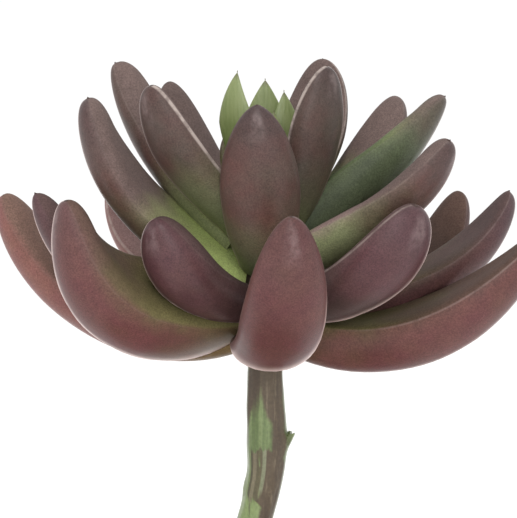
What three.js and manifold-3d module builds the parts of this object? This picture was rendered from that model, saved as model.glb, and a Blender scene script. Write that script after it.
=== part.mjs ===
// A potted aeonium: one open rosette of thick leaves on a bare stem, in a plain terracotta pot of grit.
// Millimetres, +Z up. The origin is the centre of the pot's foot, on the surface that the pot stands on.
// The front of the plant faces -Y. An azimuth is counted in degrees from the front towards +X.
import * as THREE from "three";
import { mergeVertices } from "three/addons/utils/BufferGeometryUtils.js";
import Module from "manifold-3d";

const wasm = await Module();
wasm.setup();

// ---- Driving dimensions ----
const clearance = 0.3; // between two pieces that rest on, press on or grow from each other

const pot = {
  height: 105,
  footRadius: 40,
  rimRadius: 60,
  bandHeight: 22, // the thicker band at the top
  bandStep: 5.5, // how far the band stands proud of the body
  wall: 6,
  floor: 8,
  edge: 2, // rounding of the foot and the lip
  cove: 4, // rounding inside, between the wall and the floor
  drainHoles: 3,
  drainRadius: 4,
  drainCircle: 19, // off the centre, so that the foot's centre is solid
  drainSides: 12,
  sides: 32,
};

const mix = {
  surface: 92, // height at the wall
  mound: 3, // how much higher it lies round the stem
  crumb: 1.1, // height of the crumbs
  skirt: 2.2, // how far below the surface the crumbs begin
  gap: 0.6, // shrinkage from the pot's wall
  rings: 7,
  sides: 30,
};

const stem = {
  radius: 5.2,
  kneeBulge: 0.35, // how much thicker it is round the scar nearest to the rosette
  kneeDrop: 17, // how far that lies below the rosette
  kneePitch: 45, // length of the swelling and the slimmer stretch below it
  kneeFade: [6, 24], // heights above the mix between which it sets in
  buried: 34,
  length: 85, // from the mix up to the rosette's lowest leaves
  // The bare stem's way up: to the right of the pot's axis, back from it, and height above the mix.
  route: [
    [0, 0, 0],
    [0.4, 0.6, 12],
    [3.4, 2, 28],
    [8.4, 1.6, 46],
    [10.6, 0.6, 57],
    [10.8, 0.2, 68],
    [10.4, 0, 85],
  ],
  sides: 12,
  rings: 34,
};

// The stem has grown aside, so the rosette's axis isn't the pot's. The datum is the height of the lowest
// leaves, and heights in the rosette count from there.
const axis = { x: 11, y: 0 };
const datum = mix.surface + mix.mound + stem.length;

// The stem's swollen head, which the leaves grow from.
const crown = { radius: 8, flareFrom: 2, flareTo: 11, narrowFrom: 40, top: 50, topRadius: 3.4 };

// Scars of shed leaves: how far below the rosette, on which side, and how far each stands out.
const scars = [
  { drop: 20, azimuth: 86, height: 1.1 },
  { drop: 34, azimuth: -128, height: 0.8 },
  { drop: 47, azimuth: 12, height: 0.8 },
  { drop: 58, azimuth: 150, height: 0.9 },
  { drop: 68, azimuth: -72, height: 0.8 },
];
const scarSpread = 2.6; // how far up and down the stem a scar reaches
const scarFocus = 3; // a higher number makes it narrower round the stem

// The torn foot of a shed leaf: a short blunt wedge that stands out of the stem, leaning by "lean" degrees.
const stub = {
  drop: 22,
  azimuth: 84,
  length: 5.4,
  width: 4.4,
  tipWidth: 3.6,
  thickness: 2.6,
  lean: 28,
  sunk: 0.8,
  sides: 6,
};

// ---- Leaves ----
// Every leaf is one section along one spine. The spine leaves the crown at the height "root", rising at
// "leave" degrees, and ends at "reach" from the axis and "tip" above the datum, rising at "arrive" degrees.
// "roll" turns the leaf about its spine, and "twist" is how much further it turns from its root to its tip.
// The outer face bulges by "belly" times the width, the inner one by "back".
const leafShape = {
  sides: 12,
  rings: 9,
  crowding: 1.25, // rings lie closer towards the tip
  lastRing: 0.985, // the ring before the point, as a share of the length
  widest: 0.6, // where the leaf is widest, as a share of the length
  neck: 0.7, // width at the root, as a share of the full width
  swelling: 1.25, // how late it widens
  taper: 1.8, // how late it narrows
  blunt: 0.5, // how pointed the tip is: 0.5 is round
  belly: 0.44,
  thinning: 0.3, // how much less the outer face bulges at the tip than at the root
  back: 0.12,
  crest: 0.1, // what the inner face's bulge gains towards the tip, between the next two shares of the length
  crestFrom: 0.45,
  crestTo: 0.95,
  plump: 0.8, // the bulges grow with the width to this power
  bellyCurve: 0.9, // under 1 is fuller than round, and over 1 is flatter towards the margins
  backCurve: 1.3,
  handle: 0.38, // length of the spine's handles, as a share of its chord
  wing: 0, // how much one margin flares out by the root, up to the next two shares of the length
  wingFrom: 0.1,
  wingTo: 0.45,
  point: 0.9,
};
const leafSunk = 2; // how deep a leaf's foot would reach into the crown before it is cut to fit

// The leaves grow in four rings. Where two of them press on each other, the first listed keeps its form.
const leaves = {
  outer: [
    {
      azimuth: 6, root: 11.2, reach: 60, tip: 48, width: 23.4, leave: -14, arrive: 70,
      roll: 2, widest: 0.5, blunt: 0.54, neck: 0.6, swelling: 0.6, belly: 0.4, wing: 2.4,
    },
    {
      azimuth: 78, root: 17, reach: 78.5, tip: 42, width: 26, leave: -16, arrive: 44,
      roll: 9, belly: 0.8, thinning: 0.56, crest: 0, neck: 0.5, taper: 1.5,
    },
    {
      azimuth: -62, root: 22.4, reach: 62, tip: 50, width: 27, leave: 0, arrive: 72,
      roll: -34, twist: 46, belly: 1.2, thinning: 0.8, handle: 0.45, backCurve: 0.95, crest: 0.16,
      crestFrom: 0.25, neck: 0.72, swelling: 0.6,
    },
    { azimuth: 130, root: 10, reach: 74, tip: 47.5, width: 22, leave: -8, arrive: 66 },
    {
      azimuth: -108, root: 14, reach: 79.6, tip: 48, width: 23, leave: -18, arrive: 60,
      neck: 0.5, swelling: 0.8, belly: 0.53, crest: 0.2, backCurve: 1,
    },
    { azimuth: -176, root: 10, reach: 68, tip: 46, width: 23, leave: -14, arrive: 70 },
  ],
  middle: [
    {
      azimuth: 48, root: 23.5, reach: 53.2, tip: 49.3, width: 26, leave: 3, arrive: 62,
      roll: -6, belly: 0.48,
    },
    {
      azimuth: -45, root: 23, reach: 42.2, tip: 45.4, width: 20, leave: 2, arrive: 72,
      roll: 8, widest: 0.58, blunt: 0.54, neck: 0.6, swelling: 0.5, belly: 0.56, crest: 0.34,
      crestFrom: 0.1, backCurve: 1,
    },
    {
      azimuth: 104, root: 21, reach: 71, tip: 49.5, width: 23, leave: -2, arrive: 56,
      belly: 0.58, thinning: 0.4, crest: -0.02,
    },
    {
      azimuth: -84, root: 18, reach: 64.6, tip: 50.4, width: 20, leave: -4, arrive: 68,
      blunt: 0.6, neck: 0.5, belly: 0.38, crest: 0.28,
    },
    { azimuth: -142, root: 21, reach: 72, tip: 52, width: 21, leave: 4, arrive: 66 },
    { azimuth: 158, root: 20, reach: 68, tip: 47, width: 22, leave: 4, arrive: 66 },
    { azimuth: 14, root: 25, reach: 33, tip: 38, width: 16, leave: 4, arrive: 50 },
  ],
  inner: [
    {
      azimuth: -5, root: 33, reach: 32, tip: 76, width: 22, leave: 34, arrive: 64,
      widest: 0.52, blunt: 0.64,
    },
    {
      azimuth: 64, root: 34, reach: 55, tip: 66, width: 24, leave: 36, arrive: 52,
      roll: 8, belly: 0.56, thinning: 0.46, crest: 0.12,
    },
    {
      azimuth: -78, root: 31, reach: 50.4, tip: 77, width: 24, leave: 22, arrive: 72,
      roll: -24, twist: 24, belly: 0.44, crest: 0.14, crestFrom: 0.1, neck: 0.95,
    },
    { azimuth: 128, root: 32, reach: 47.5, tip: 76, width: 21, leave: 36, arrive: 60 },
    { azimuth: -142, root: 32, reach: 46, tip: 80, width: 17.5, leave: 46, arrive: 64 },
    { azimuth: -52, root: 41, reach: 40, tip: 81, width: 20, leave: 46, arrive: 68 },
    { azimuth: 47, root: 43, reach: 22.4, tip: 86, width: 18.7, leave: 58, arrive: 72, blunt: 0.58 },
    {
      azimuth: 98, root: 42, reach: 50.3, tip: 76.8, width: 22, leave: 47, arrive: 44,
      roll: -11, belly: 0.84, thinning: 0.74, backCurve: 0.95,
    },
    {
      azimuth: -108, root: 39, reach: 45, tip: 86, width: 20, leave: 39, arrive: 62.5,
      belly: 0.52, thinning: 0.55, crest: 0.28, crestFrom: 0.2, neck: 0.85,
    },
    { azimuth: 155.5, root: 41, reach: 39, tip: 86.7, width: 20.6, leave: 50, arrive: 84 },
    { azimuth: -176, root: 27, reach: 42, tip: 64, width: 20, leave: 30, arrive: 66 },
    { azimuth: 175, root: 46, reach: 16, tip: 68, width: 16, leave: 60, arrive: 84 },
  ],
  core: [
    { azimuth: 4, root: 44, reach: 16, tip: 66, width: 13, leave: 46, arrive: 84 },
    { azimuth: -32, root: 47, reach: 14, tip: 64, width: 12, leave: 50, arrive: 84 },
    { azimuth: 112, root: 47, reach: 16, tip: 65, width: 12, leave: 50, arrive: 84 },
    { azimuth: -140, root: 47, reach: 14, tip: 68, width: 12, leave: 56, arrive: 84 },
    { azimuth: -92, root: 46, reach: 11, tip: 57, width: 10, leave: 56, arrive: 86 },
    { azimuth: 74, root: 47, reach: 13, tip: 60, width: 9, leave: 56, arrive: 86 },
  ],
};

// The young green leaves at the growing tip: thin, pointed and nearly upright round a small bud.
const youngShape = {
  ...leafShape,
  sides: 8,
  rings: 7,
  widest: 0.64,
  neck: 0.6,
  taper: 1.2,
  blunt: 0.9,
  belly: 0.15,
  back: 0.08,
  crest: 0,
  point: 0.6,
};
const youngLeaves = [
  { azimuth: -54, root: 48, reach: 10.2, tip: 84, width: 10.4, leave: 74, arrive: 104, roll: 32 },
  { azimuth: -174, root: 48, reach: 5, tip: 81.5, width: 12.5, leave: 74, arrive: 94 },
  { azimuth: 60, root: 48, reach: 5.4, tip: 78.5, width: 9.5, leave: 74, arrive: 94, roll: -45 },
];
const youngRoot = 3.2; // how far from the axis they spring
const bud = { radius: 3.9, height: 8, centre: 54, sides: 10, rings: 8 };

// Smaller ones stand between them: each a golden angle on from the last, shorter, narrower and further in.
const folded = {
  count: 6,
  first: { azimuth: 20, root: 50, reach: 5.4, tip: 73, width: 7.6, leave: 64, arrive: 100 },
  step: { azimuth: 137.5, reach: -0.8, tip: -1.4, width: -0.4 },
};

const finish = { pot: 0.85, mix: 0.95, stem: 0.65, leaf: 0.5 }; // roughness
const colours = {
  terracotta: 0xb5694a,
  mix: 0x4a3a2e,
  stem: 0x7a7a55,
  outer: 0x7a4f50,
  middle: 0x6d4a4c,
  inner: 0x6d5f4c,
  core: 0x77804e,
  young: 0x8fa85f,
};

// ---- Helpers ----
const radians = THREE.MathUtils.degToRad;
const between = (from, to, share) => from + (to - from) * share;

function solidFrom(geometry) {
  const bare = geometry.clone().deleteAttribute("normal").deleteAttribute("uv");
  const merged = mergeVertices(bare, 1e-4);
  const mesh = new wasm.Mesh({
    numProp: 3,
    vertProperties: merged.attributes.position.array,
    triVerts: new Uint32Array(merged.index.array),
  });
  return new wasm.Manifold(mesh);
}

function geometryFrom(solid) {
  const mesh = solid.getMesh();
  const geometry = new THREE.BufferGeometry();
  geometry.setAttribute("position", new THREE.BufferAttribute(mesh.vertProperties, 3));
  geometry.setIndex(new THREE.BufferAttribute(mesh.triVerts, 1));
  geometry.computeVertexNormals();
  return geometry;
}

// Drops the loose scraps that a cut can leave.
function largestBody(solid) {
  return solid.decompose().reduce((best, body) => (body.volume() > best.volume() ? body : best));
}

function namedMesh(name, geometry, colour, roughness) {
  const material = new THREE.MeshStandardMaterial({ color: colour, roughness, metalness: 0 });
  const mesh = new THREE.Mesh(geometry, material);
  mesh.name = name;
  return mesh;
}

// A closed cylinder whose vertices a rule moves: place(share of its length, x and y across it, the point).
function reshapedTube(sides, rings, place) {
  const tube = new THREE.CylinderGeometry(1, 1, 1, sides, rings);
  const position = tube.attributes.position;
  const point = new THREE.Vector3();
  for (let i = 0; i < position.count; i++) {
    place(position.getY(i) + 0.5, position.getX(i), position.getZ(i), point);
    position.setXYZ(i, point.x, point.y, point.z);
  }
  return tube;
}

function turnedAbout(points, sides) {
  const profile = points.map(([radius, z]) => new THREE.Vector2(radius, z));
  return new THREE.LatheGeometry(profile, sides).rotateX(Math.PI / 2);
}

// ---- Pot ----
const bandFoot = pot.height - pot.bandHeight;
const bodyRadius = (z) => between(pot.footRadius, pot.rimRadius - pot.bandStep, z / bandFoot);
const innerRadius = (z) => Math.min(bodyRadius(z), bodyRadius(bandFoot) + pot.edge) - pot.wall;

function potGeometry() {
  const { edge, cove, height, rimRadius, floor } = pot;
  const lipInside = innerRadius(height);
  const roundCorner = 1 - Math.SQRT1_2; // where a quarter circle's middle lies
  let solid = solidFrom(
    turnedAbout(
      [
        [0, 0],
        [pot.footRadius - edge, 0],
        [bodyRadius(edge), edge],
        [bodyRadius(bandFoot), bandFoot],
        [rimRadius - edge, bandFoot],
        [rimRadius, bandFoot + edge],
        [rimRadius, height - edge],
        [rimRadius - edge * roundCorner, height - edge * roundCorner],
        [rimRadius - edge, height],
        [lipInside + edge, height],
        [lipInside, height - edge],
        [innerRadius(bandFoot), bandFoot],
        [innerRadius(floor + cove), floor + cove],
        [innerRadius(floor) - cove, floor],
        [0, floor],
      ],
      pot.sides,
    ),
  );
  for (let k = 0; k < pot.drainHoles; k++) {
    const turn = (k / pot.drainHoles) * 2 * Math.PI;
    const hole = new THREE.CylinderGeometry(pot.drainRadius, pot.drainRadius, floor * 3, pot.drainSides)
      .rotateX(Math.PI / 2)
      .translate(pot.drainCircle * Math.cos(turn), pot.drainCircle * Math.sin(turn), 0);
    solid = solid.subtract(solidFrom(hole));
  }
  return geometryFrom(solid);
}

// ---- Potting mix ----
// Crumbs of the surface: three waves that cross each other, none in step with the rings.
function crumbHeight(x, y) {
  const coarse = Math.sin(x * 0.31 + 1.3) * Math.cos(y * 0.27 - 0.4);
  const middle = Math.sin(x * 0.83 - y * 0.61);
  const fine = Math.cos(x * 1.37 + y * 1.19 + 0.8);
  return mix.crumb * (0.5 * coarse + 0.3 * middle + 0.2 * fine);
}

// The body of mix fills the pot up to its surface, with a plain hole for the buried stem.
function mixGeometry() {
  const wallAt = (z) => innerRadius(z) - clearance - mix.gap;
  const hole = stem.radius + clearance + mix.gap;
  const holeFloor = mix.surface - stem.buried - clearance;
  const skirt = mix.surface - mix.skirt;
  const profile = [
    [0, pot.floor + clearance],
    [wallAt(pot.floor) - pot.cove, pot.floor + clearance],
    [wallAt(pot.floor + pot.cove), pot.floor + pot.cove + clearance],
    [wallAt(bandFoot), bandFoot],
    [wallAt(skirt), skirt],
  ];
  for (let k = 0; k <= mix.rings; k++) {
    const share = k / mix.rings;
    profile.push([between(wallAt(skirt), hole, share), mix.surface + mix.mound * share ** 2]);
  }
  profile.push([hole, holeFloor], [0, holeFloor]);
  const geometry = turnedAbout(profile, mix.sides);
  const position = geometry.attributes.position;
  const crumbsFrom = mix.surface - mix.skirt / 2;
  for (let i = 0; i < position.count; i++) {
    const height = position.getZ(i);
    if (height > crumbsFrom) position.setZ(i, height + crumbHeight(position.getX(i), position.getY(i)));
  }
  return geometry;
}

// ---- Stem ----
function stemRoute(swell) {
  const ground = datum - stem.length;
  const points = stem.route.map(([x, y, z]) => new THREE.Vector3(x, y, ground + z));
  points.unshift(new THREE.Vector3(0, 0, mix.surface - stem.buried));
  points.push(new THREE.Vector3(axis.x, axis.y, datum + crown.top + swell));
  return new THREE.CatmullRomCurve3(points, false, "centripetal");
}

function stemRadius(height) {
  const { smoothstep } = THREE.MathUtils;
  const knee = Math.cos(((height + stem.kneeDrop) / stem.kneePitch) * 2 * Math.PI);
  const fadeIn = smoothstep(height + stem.length, ...stem.kneeFade);
  const bare = stem.radius + stem.kneeBulge * knee * fadeIn;
  const flared = between(bare, crown.radius, smoothstep(height, crown.flareFrom, crown.flareTo));
  const above = (height - crown.narrowFrom) / (crown.top - crown.narrowFrom);
  const narrowing = THREE.MathUtils.clamp(above, 0, 1);
  return between(flared, crown.topRadius, narrowing);
}

function scarHeight(height, angle) {
  let raised = 0;
  for (const scar of scars) {
    const off = (height + scar.drop) / scarSpread;
    const facing = Math.max(0, Math.cos(angle - radians(scar.azimuth - 90)));
    raised += scar.height * Math.exp(-off * off) * facing ** scarFocus;
  }
  return raised;
}

// The centre of the stem at a height: the route is halved until it is found.
function routeAt(route, z) {
  let [low, high] = [0, 1];
  while (high - low > 1e-4) {
    const middle = (low + high) / 2;
    if (route.getPoint(middle).z < z) low = middle;
    else high = middle;
  }
  return route.getPoint(low);
}

function stubGeometry(route) {
  const centre = routeAt(route, datum - stub.drop);
  return new THREE.CylinderGeometry(stub.tipWidth / 2, stub.width / 2, stub.length, stub.sides)
    .scale(stub.thickness / stub.width, 1, 1)
    .translate(0, stub.length / 2, 0)
    .rotateZ(-radians(stub.lean))
    .rotateX(Math.PI / 2)
    .translate(stemRadius(-stub.drop) - stub.sunk, 0, 0)
    .rotateZ(radians(stub.azimuth - 90))
    .translate(centre.x, centre.y, centre.z);
}

// "swell" makes it larger all round, to cut the leaves clear of it.
function stemSolid(swell = 0) {
  const route = stemRoute(swell);
  const tube = reshapedTube(stem.sides, stem.rings, (share, x, y, point) => {
    route.getPointAt(share, point);
    const height = point.z - datum;
    const way = route.getTangentAt(share);
    const right = new THREE.Vector3(0, 1, 0).cross(way).normalize();
    const back = new THREE.Vector3().crossVectors(way, right);
    const angle = Math.atan2(-y, x);
    const radius = Math.hypot(x, y) * (stemRadius(height) + scarHeight(height, angle) + swell);
    point.addScaledVector(right, radius * Math.cos(angle)).addScaledVector(back, radius * Math.sin(angle));
  });
  return solidFrom(tube).add(solidFrom(stubGeometry(route)));
}

// ---- Leaf ----
function widthShare(u, blade) {
  if (u < blade.widest) {
    const opened = Math.sin((Math.PI / 2) * (u / blade.widest)) ** blade.swelling;
    return between(blade.neck, 1, opened);
  }
  const past = (u - blade.widest) / (1 - blade.widest);
  return (1 - past ** blade.taper) ** blade.blunt;
}

function leafSpine(blade, rootRadius) {
  const root = new THREE.Vector3(rootRadius, 0, blade.root);
  const tip = new THREE.Vector3(blade.reach, 0, blade.tip);
  const reach = root.distanceTo(tip) * blade.handle;
  const handle = (degrees) => new THREE.Vector3(Math.cos(radians(degrees)), 0, Math.sin(radians(degrees)));
  const leave = root.clone().addScaledVector(handle(blade.leave), reach);
  const arrive = tip.clone().addScaledVector(handle(blade.arrive), -reach);
  return new THREE.CubicBezierCurve3(root, leave, arrive, tip);
}

// A leaf is shaped along +X, inner face up, then turned to its azimuth. "swell" makes it larger all round.
function leafSolid(leaf, shape, rootRadius, swell = 0) {
  const blade = { roll: 0, twist: 0, ...shape, ...leaf };
  const spine = leafSpine(blade, rootRadius);
  const tipLength = (1 - blade.lastRing) * spine.getLength() + blade.point + swell;
  const tube = reshapedTube(blade.sides, blade.rings, (step, x, y, point) => {
    const u = blade.lastRing * (1 - (1 - step) ** blade.crowding);
    spine.getPointAt(u, point);
    const way = spine.getTangentAt(u);
    if (u === 0) point.addScaledVector(way, -swell);
    if (Math.hypot(x, y) < 0.5) {
      point.addScaledVector(way, step > 0.5 ? tipLength : 0);
      return;
    }
    const share = widthShare(u, blade);
    const isInner = y > 0;
    const risen = THREE.MathUtils.smoothstep(u, blade.crestFrom, blade.crestTo);
    const bulge = isInner ? blade.back + blade.crest * risen : blade.belly * (1 - blade.thinning * u);
    const depth = blade.width * bulge * share ** blade.plump + swell;
    const lift = Math.sign(y) * depth * Math.abs(y) ** (isInner ? blade.backCurve : blade.bellyCurve);
    const turn = radians(blade.roll + blade.twist * (u - 0.5));
    const side = new THREE.Vector3(0, 1, 0).applyAxisAngle(way, turn);
    const normal = new THREE.Vector3().crossVectors(way, side);
    const lowness = 1 - THREE.MathUtils.smoothstep(u, blade.wingFrom, blade.wingTo);
    const flare = blade.wing * Math.max(0, x) * lowness;
    const sideways = -x * ((blade.width * share) / 2 + swell) - flare;
    point.addScaledVector(side, sideways).addScaledVector(normal, lift);
  });
  return solidFrom(tube.rotateZ(radians(blade.azimuth - 90)));
}

// ---- Growing tip ----
function foldedLeaf(k) {
  const leaf = { ...folded.first };
  for (const [key, step] of Object.entries(folded.step)) leaf[key] += step * k;
  return leaf;
}

function growingTipSolid() {
  const ball = new THREE.SphereGeometry(1, bud.sides, bud.rings)
    .rotateX(Math.PI / 2)
    .scale(bud.radius, bud.radius, bud.height)
    .translate(0, 0, bud.centre);
  const small = Array.from({ length: folded.count }, (_, k) => foldedLeaf(k));
  const blades = [...youngLeaves, ...small].map((leaf) => leafSolid(leaf, youngShape, youngRoot));
  return blades.reduce((sum, blade) => sum.add(blade), solidFrom(ball));
}

// ---- Assembly ----
const plant = new THREE.Group();
plant.add(namedMesh("pot", potGeometry(), colours.terracotta, finish.pot));
plant.add(namedMesh("potting_mix", mixGeometry(), colours.mix, finish.mix));
plant.add(namedMesh("stem", geometryFrom(stemSolid()), colours.stem, finish.stem));

const rosette = new THREE.Group();
rosette.position.set(axis.x, axis.y, datum);
plant.add(rosette);

// Whatever stands already, a little enlarged and in the rosette's frame: the next leaf is cut clear of it.
let standing = stemSolid(clearance).translate(-axis.x, -axis.y, -datum);
const leafRoot = crown.radius - leafSunk;

for (const [ring, list] of Object.entries(leaves)) {
  list.forEach((leaf, k) => {
    const solid = largestBody(leafSolid(leaf, leafShape, leafRoot).subtract(standing));
    rosette.add(namedMesh(`leaf_${ring}_${k + 1}`, geometryFrom(solid), colours[ring], finish.leaf));
    standing = standing.add(leafSolid(leaf, leafShape, leafRoot, clearance));
  });
}

const growingTip = growingTipSolid().subtract(standing);
rosette.add(namedMesh("growing_tip", geometryFrom(growingTip), colours.young, finish.leaf));

export default plant;
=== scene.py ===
import math
import random
from itertools import combinations

import bpy
import numpy as np
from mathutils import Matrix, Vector, kdtree, noise


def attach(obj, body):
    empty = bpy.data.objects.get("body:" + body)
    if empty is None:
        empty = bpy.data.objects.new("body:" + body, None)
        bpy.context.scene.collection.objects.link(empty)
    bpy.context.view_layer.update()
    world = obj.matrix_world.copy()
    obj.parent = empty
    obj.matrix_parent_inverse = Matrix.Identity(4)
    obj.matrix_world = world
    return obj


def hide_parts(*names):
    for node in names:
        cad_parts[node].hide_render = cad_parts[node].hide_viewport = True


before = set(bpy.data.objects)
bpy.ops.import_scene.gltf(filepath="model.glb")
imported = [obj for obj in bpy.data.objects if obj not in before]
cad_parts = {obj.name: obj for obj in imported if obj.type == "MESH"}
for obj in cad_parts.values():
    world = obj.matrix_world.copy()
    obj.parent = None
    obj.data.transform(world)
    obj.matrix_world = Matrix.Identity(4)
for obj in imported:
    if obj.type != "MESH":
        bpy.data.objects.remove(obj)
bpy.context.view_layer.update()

mm = 0.001
print("frame loaded,", len(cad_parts), "nodes")


# ---- small helpers ----
def paint(red, green, blue):  # a colour as a picture shows it, 0 to 255, for a shader socket
    def linear(value):
        share = value / 255
        return share / 12.92 if share <= 0.04045 else ((share + 0.055) / 1.055) ** 2.4
    return (linear(red), linear(green), linear(blue), 1)


def smoothStep(low, high, x):
    t = np.clip((x - low) / (high - low), 0, 1)
    return t * t * (3 - 2 * t)


def mixValues(a, b, share):
    return a + (b - a) * share


def spun(x, y, turn):  # turned by an angle in radians
    return x * math.cos(turn) - y * math.sin(turn), x * math.sin(turn) + y * math.cos(turn)


def placed(x, y, z, azimuth, origin):  # turned to an azimuth that counts from the front, then moved
    spunX, spunY = spun(x, y, math.radians(azimuth - 90))
    return np.stack([spunX + origin[0], spunY + origin[1], z + origin[2]], -1)


def ringAngles(sides):
    return np.linspace(0, 2 * math.pi, sides, endpoint=False)


def unit(vectors):  # each row made one long
    return vectors / np.linalg.norm(vectors, axis=1)[:, None]


def lengthsAlong(curve):  # how far along the curve each of its points lies
    return np.concatenate([[0], np.cumsum(np.linalg.norm(np.diff(curve, axis=0), axis=1))])


def pointsAt(places, known, curve):  # points between those of a curve, whose own places are known
    return np.stack([np.interp(places, known, curve[:, k]) for k in range(3)], 1)


def tubeFaces(rings, sides):  # rings of points, then one point for each end
    faces = []
    for ring in range(rings - 1):
        for side in range(sides):
            a = ring * sides + side
            b = ring * sides + (side + 1) % sides
            faces.append((a, b, b + sides, a + sides))
    first, last = rings * sides, rings * sides + 1
    for side in range(sides):
        nextSide = (side + 1) % sides
        faces.append((first, nextSide, side))
        faces.append((last, (rings - 1) * sides + side, (rings - 1) * sides + nextSide))
    return faces


def newMesh(name, points, faces):
    mesh = bpy.data.meshes.new(name)
    mesh.from_pydata([tuple(p) for p in points], [], faces)
    mesh.update()
    return mesh


def newObject(name, mesh):
    made = bpy.data.objects.new(name, mesh)
    bpy.context.scene.collection.objects.link(made)
    return made


def removeObjects(objects):
    for spent in objects:
        mesh = spent.data
        bpy.data.objects.remove(spent)
        bpy.data.meshes.remove(mesh)


def boxOf(made):
    co = np.empty(len(made.data.vertices) * 3, np.float32)
    made.data.vertices.foreach_get("co", co)
    co = co.reshape(-1, 3)
    return co.min(0), co.max(0)


def boxesMeet(first, second):
    (lowA, highA), (lowB, highB) = boxOf(first), boxOf(second)
    return bool((lowA < highB).all() and (lowB < highA).all())


def combine(made, others, operation):  # booleans with each of the others, applied
    for other in others:
        if operation == "DIFFERENCE" and not boxesMeet(made, other):
            continue
        boolean = made.modifiers.new("join", "BOOLEAN")
        boolean.operation = operation
        boolean.solver = "MANIFOLD"
        boolean.object = other
    if made.modifiers:
        spent = made.data
        graph = bpy.context.evaluated_depsgraph_get()
        made.data = bpy.data.meshes.new_from_object(made.evaluated_get(graph))
        made.modifiers.clear()
        bpy.data.meshes.remove(spent)


def keepLargest(made):  # drops the loose scraps that a cut leaves
    mesh = made.data
    owner = np.arange(len(mesh.vertices))
    edges = np.array([e.vertices[:] for e in mesh.edges])
    while True:
        low = np.minimum(owner[edges[:, 0]], owner[edges[:, 1]])
        before = owner.copy()
        np.minimum.at(owner, edges[:, 0], low)
        np.minimum.at(owner, edges[:, 1], low)
        owner = owner[owner]
        if (owner == before).all():
            break
    names, counts = np.unique(owner, return_counts=True)
    if len(names) == 1:
        return
    kept = np.nonzero(owner == names[counts.argmax()])[0]
    renumbered = {int(old): new for new, old in enumerate(kept)}
    points = [mesh.vertices[i].co[:] for i in renumbered]
    faces = [
        [renumbered[v] for v in polygon.vertices]
        for polygon in mesh.polygons if polygon.vertices[0] in renumbered
    ]
    made.data = newMesh(made.name, points, faces)
    bpy.data.meshes.remove(mesh)


def writeAttributes(mesh, values):
    for name, numbers in values.items():
        layer = mesh.attributes.new(name, "FLOAT", "POINT")
        layer.data.foreach_set("value", np.asarray(numbers, np.float32))


def carryAttributes(mesh, points, values):  # each vertex takes what the nearest point of the uncut form has
    tree = kdtree.KDTree(len(points))
    for index, point in enumerate(points):
        tree.insert(point, index)
    tree.balance()
    nearest = np.array([tree.find(v.co)[1] for v in mesh.vertices])
    writeAttributes(mesh, {name: numbers[nearest] for name, numbers in values.items()})


def finishPiece(made, material, nodes, sharpAngle=52):
    mesh = made.data
    mesh.shade_smooth()
    mesh.set_sharp_from_angle(angle=math.radians(sharpAngle))
    mesh.materials.clear()
    mesh.materials.append(material)
    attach(made, "root")
    if nodes:
        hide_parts(*nodes)


# ---- shader helpers ----
def feed(tree, socket, value):  # a link from another node's output, or a plain value
    if isinstance(value, bpy.types.NodeSocket):
        tree.links.new(value, socket)
    else:
        socket.default_value = value


def addNode(tree, kind, inputs=None, **settings):
    node = tree.nodes.new(kind)
    for key, value in settings.items():
        setattr(node, key, value)
    for key, value in (inputs or {}).items():
        feed(tree, node.inputs[key], value)
    return node


def mathNode(tree, operation, *values, clamp=False):
    inputs = dict(enumerate(values))
    return addNode(tree, "ShaderNodeMath", inputs, operation=operation, use_clamp=clamp).outputs[0]


def plus(tree, a, b, clamp=False):
    return mathNode(tree, "ADD", a, b, clamp=clamp)


def minus(tree, a, b):
    return mathNode(tree, "SUBTRACT", a, b)


def times(tree, product, *others, clamp=False):
    for other in others:
        product = mathNode(tree, "MULTIPLY", product, other, clamp=clamp)
    return product


def scaled(tree, value, factor, offset):
    return mathNode(tree, "MULTIPLY_ADD", value, factor, offset)


def rangeNode(tree, value, low, high, toLow=0.0, toHigh=1.0):  # a smooth step, which may run downwards
    inputs = {"Value": value, "From Min": low, "From Max": high, "To Min": toLow, "To Max": toHigh}
    return addNode(tree, "ShaderNodeMapRange", inputs, interpolation_type="SMOOTHSTEP").outputs["Result"]


def mixColours(tree, share, base, over):
    return addNode(tree, "ShaderNodeMix", {0: share, 6: base, 7: over}, data_type="RGBA").outputs[2]


def blend(tree, base, over, value, low, high, most=1.0):  # "over" grows as the value goes from low to high
    return mixColours(tree, rangeNode(tree, value, low, high, 0.0, most), base, over)


def brightened(tree, colour, factor):
    return addNode(tree, "ShaderNodeHueSaturation", {"Color": colour, "Value": factor}).outputs[0]


def stretched(tree, vector, upward):  # below one it draws a pattern out along Z, above one it squeezes it
    return addNode(tree, "ShaderNodeMapping", {"Vector": vector, "Scale": (1.0, 1.0, upward)}).outputs[0]


def noiseNode(tree, vector, scale, detail, roughness):
    inputs = {"Vector": vector, "Scale": scale, "Detail": detail, "Roughness": roughness}
    return addNode(tree, "ShaderNodeTexNoise", inputs).outputs["Fac"]


def attribute(tree, name):
    return addNode(tree, "ShaderNodeAttribute", attribute_name=name).outputs["Fac"]


def slant(tree):  # from 0 where a surface faces the eye to 1 at its outline
    return addNode(tree, "ShaderNodeLayerWeight", {"Blend": 0.5}).outputs["Facing"]


def newGroup(name, inputs, outputs):
    group = bpy.data.node_groups.new(name, "ShaderNodeTree")
    for label, kind, value in inputs:
        socket = group.interface.new_socket(label, in_out="INPUT", socket_type=kind)
        if value is not None:
            socket.default_value = value
    for label, kind in outputs:
        group.interface.new_socket(label, in_out="OUTPUT", socket_type=kind)
    start = group.nodes.new("NodeGroupInput")
    end = group.nodes.new("NodeGroupOutput")
    return group, start.outputs, end.inputs


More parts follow.
